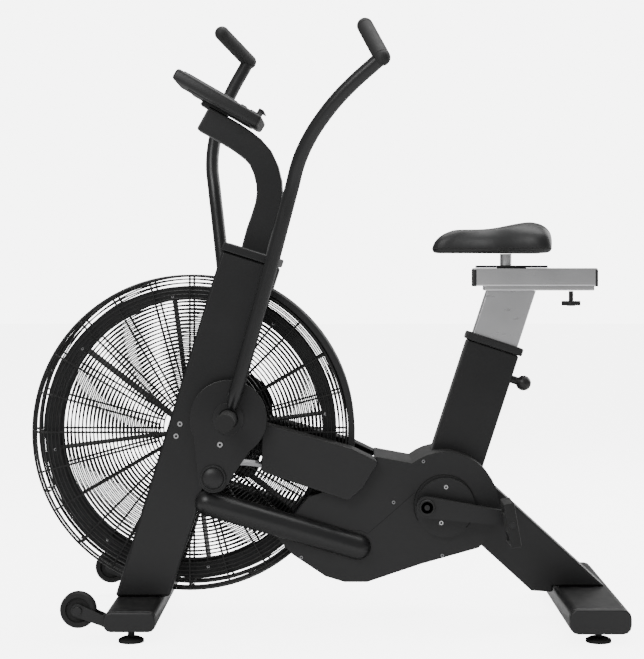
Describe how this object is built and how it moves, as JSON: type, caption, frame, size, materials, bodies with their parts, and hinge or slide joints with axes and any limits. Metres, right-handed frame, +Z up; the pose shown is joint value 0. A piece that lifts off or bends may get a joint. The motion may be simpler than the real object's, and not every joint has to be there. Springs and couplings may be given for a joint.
{
  "type": "air bike",
  "caption": "Air bike with a caged fan wheel, swinging arm levers, pedals, sliding saddle post and saddle, console and transport wheels.",
  "frame": {"origin": "on the floor, in the middle of the machine's length and width", "axes": "+X to the rear, where the saddle is; +Y to the rider's right; +Z up"},
  "size_m": [1.2229, 0.6294, 1.2962],
  "materials": {
    "frame_paint": "satin black powder coat",
    "cover_plastic": "fine textured black",
    "guard_wire": "satin black",
    "fan_paint": "satin dark grey",
    "rubber": "matt",
    "chrome": "brushed bright",
    "steel": "satin",
    "saddle_vinyl": "satin grained"
  },
  "bodies": {
    "frame": {"post_left": "frame_paint", "post_right": "frame_paint", "mast": "frame_paint", "console": "cover_plastic", "front_stabilizer": "frame_paint", "rear_stabilizer": "frame_paint", "front_cap_left": "cover_plastic", "front_cap_right": "cover_plastic", "rear_cap_left": "cover_plastic", "rear_cap_right": "cover_plastic", "front_foot_left": "rubber", "front_foot_right": "rubber", "rear_foot_left": "rubber", "rear_foot_right": "rubber", "wheel_bracket_left": "frame_paint", "wheel_bracket_right": "frame_paint", "side_tube_left": "frame_paint", "side_tube_right": "frame_paint", "crossbar": "frame_paint", "seat_tube": "frame_paint", "seat_collar": "cover_plastic", "rear_leg": "frame_paint", "housing_left": "cover_plastic", "housing_right": "cover_plastic", "fairing_left": "cover_plastic", "fairing_right": "cover_plastic", "guard_left": "guard_wire", "guard_right": "guard_wire", "wind_shroud": "cover_plastic", "fan_axle": "steel", "crank_bearing": "steel", "fan_bearing": "steel", "drive_belt": "rubber", "foot_peg_left": "rubber", "foot_peg_right": "rubber"},
    "fan": {"fan_wheel": "fan_paint", "fan_pulley": "steel"},
    "crank": {"crank_axle": "steel", "crank_arm_left": "frame_paint", "crank_arm_right": "frame_paint", "crank_pulley": "cover_plastic"},
    "idler": {"belt_idler": "cover_plastic"},
    "pedal_left": {"pedal_left": "rubber"},
    "pedal_right": {"pedal_right": "rubber"},
    "lever_left": {"lever_left": "frame_paint", "lever_plate_left": "frame_paint", "grip_left": "rubber"},
    "lever_right": {"lever_right": "frame_paint", "lever_plate_right": "frame_paint", "grip_right": "rubber"},
    "rod_left": {"rod_left": "steel"},
    "rod_right": {"rod_right": "steel"},
    "wheel_left": {"wheel_left": "rubber"},
    "wheel_right": {"wheel_right": "rubber"},
    "seat_post": {"seat_post": "chrome", "seat_rail": "chrome"},
    "saddle": {"saddle": "saddle_vinyl", "seat_slider": "frame_paint"},
    "rail_knob": {"rail_knob": "cover_plastic"},
    "post_knob": {"post_knob": "cover_plastic"}
  },
  "joints": [
    {"name": "fan_spin", "type": "hinge", "parent": "frame", "child": "fan", "pos_m": [-0.28, 0, 0.399], "axis": [0, 1, 0], "continuous": true},
    {"name": "crank_spin", "type": "hinge", "parent": "frame", "child": "crank", "pos_m": [0.2142, 0, 0.2528], "axis": [0, 1, 0], "continuous": true},
    {"name": "idler_spin", "type": "hinge", "parent": "frame", "child": "idler", "pos_m": [0.088, 0, 0.262], "axis": [0, 1, 0], "continuous": true},
    {"name": "pedal_left_spin", "type": "hinge", "parent": "crank", "child": "pedal_left", "pos_m": [0.38052, -0.185, 0.22913], "axis": [0, 1, 0], "continuous": true},
    {"name": "pedal_right_spin", "type": "hinge", "parent": "crank", "child": "pedal_right", "pos_m": [0.04788, 0.185, 0.27647], "axis": [0, 1, 0], "continuous": true},
    {"name": "lever_left_swing", "type": "hinge", "parent": "frame", "child": "lever_left", "pos_m": [-0.1935, -0.14, 0.4355], "axis": [0, 1, 0], "range_deg": [-22, 0]},
    {"name": "lever_right_swing", "type": "hinge", "parent": "frame", "child": "lever_right", "pos_m": [-0.1935, 0.14, 0.4355], "axis": [0, 1, 0], "range_deg": [0, 22]},
    {"name": "rod_left_turn", "type": "hinge", "parent": "lever_left", "child": "rod_left", "pos_m": [-0.224, -0.124, 0.3143], "axis": [0, 1, 0], "range_deg": [0, 22]},
    {"name": "rod_right_turn", "type": "hinge", "parent": "lever_right", "child": "rod_right", "pos_m": [-0.17638, 0.124, 0.3117], "axis": [0, 1, 0], "range_deg": [-22, 0]},
    {"name": "wheel_left_spin", "type": "hinge", "parent": "frame", "child": "wheel_left", "pos_m": [-0.4844, -0.244, 0.0652], "axis": [0, 1, 0], "continuous": true},
    {"name": "wheel_right_spin", "type": "hinge", "parent": "frame", "child": "wheel_right", "pos_m": [-0.4844, 0.244, 0.0652], "axis": [0, 1, 0], "continuous": true},
    {"name": "seat_height", "type": "slide", "parent": "frame", "child": "seat_post", "axis": [0.3107, 0, 0.9505], "range_m": [-0.06, 0.09]},
    {"name": "saddle_slide", "type": "slide", "parent": "seat_post", "child": "saddle", "axis": [1, 0, 0], "range_m": [-0.03, 0.05]},
    {"name": "rail_knob_turn", "type": "hinge", "parent": "seat_post", "child": "rail_knob", "pos_m": [0.528, 0, 0.66], "axis": [0, 0, 1], "range_deg": [-180, 180]},
    {"name": "post_knob_pull", "type": "slide", "parent": "frame", "child": "post_knob", "axis": [0.9505, 0, -0.3107], "range_m": [0, 0.008], "stiffness_N_per_m": 1500}
  ],
  "couplings": [
    {"joint": "crank_spin", "follows": "fan_spin", "ratio": 0.29839},
    {"joint": "idler_spin", "follows": "fan_spin", "ratio": -1.2333},
    {"joint": "lever_right_swing", "follows": "lever_left_swing", "ratio": -1},
    {"joint": "rod_left_turn", "follows": "lever_left_swing", "ratio": -1},
    {"joint": "rod_right_turn", "follows": "lever_left_swing", "ratio": 1}
  ]
}
